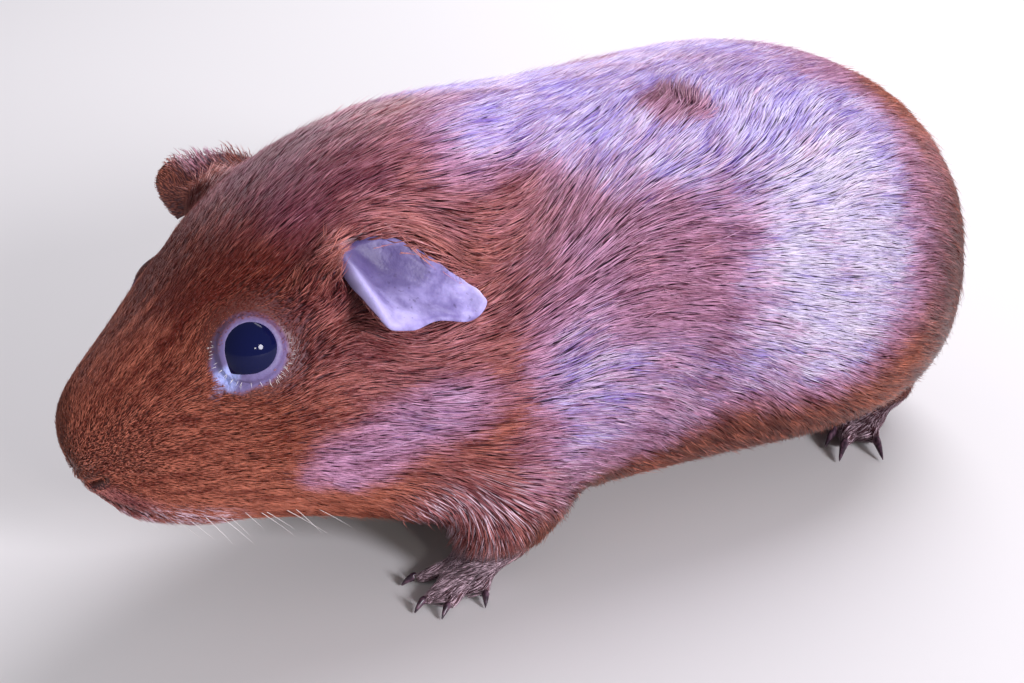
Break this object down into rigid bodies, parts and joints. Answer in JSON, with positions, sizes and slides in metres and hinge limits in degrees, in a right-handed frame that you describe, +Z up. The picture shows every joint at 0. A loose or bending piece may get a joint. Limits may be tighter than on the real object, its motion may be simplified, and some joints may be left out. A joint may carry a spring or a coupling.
{
  "type": "guinea pig",
  "caption": "Smooth-coated guinea pig standing alert on four feet, with petal ears, round eyes and clawed toes, as a still model.",
  "frame": {"origin": "middle of the footprint of the animal's bounding box, on the floor under its feet", "axes": "+Z up, -Y the way the animal faces, +X its left side"},
  "size_m": [0.0998, 0.2248, 0.094],
  "materials": {
    "coat": "short smooth glossy red-brown fur",
    "ear_skin": "bare lavender-grey skin, faintly mottled",
    "eye": "wet, glossy, near black",
    "foot_skin": "dark skin under thin grizzled hair",
    "claw": "dark horn, satin"
  },
  "bodies": {
    "root": {"head": "coat", "neck": "coat", "trunk": "coat", "foreleg_left": "coat", "foreleg_right": "coat", "hindleg_left": "coat", "hindleg_right": "coat", "ear_left": "ear_skin", "ear_right": "ear_skin", "eye_left": "eye", "eye_right": "eye", "forefoot_left": "foot_skin", "forefoot_right": "foot_skin", "hindfoot_left": "foot_skin", "hindfoot_right": "foot_skin", "claw_fore_left_1": "claw", "claw_fore_left_2": "claw", "claw_fore_left_3": "claw", "claw_fore_left_4": "claw", "claw_fore_right_1": "claw", "claw_fore_right_2": "claw", "claw_fore_right_3": "claw", "claw_fore_right_4": "claw", "claw_hind_left_1": "claw", "claw_hind_left_2": "claw", "claw_hind_left_3": "claw", "claw_hind_right_1": "claw", "claw_hind_right_2": "claw", "claw_hind_right_3": "claw"}
  },
  "joints": []
}
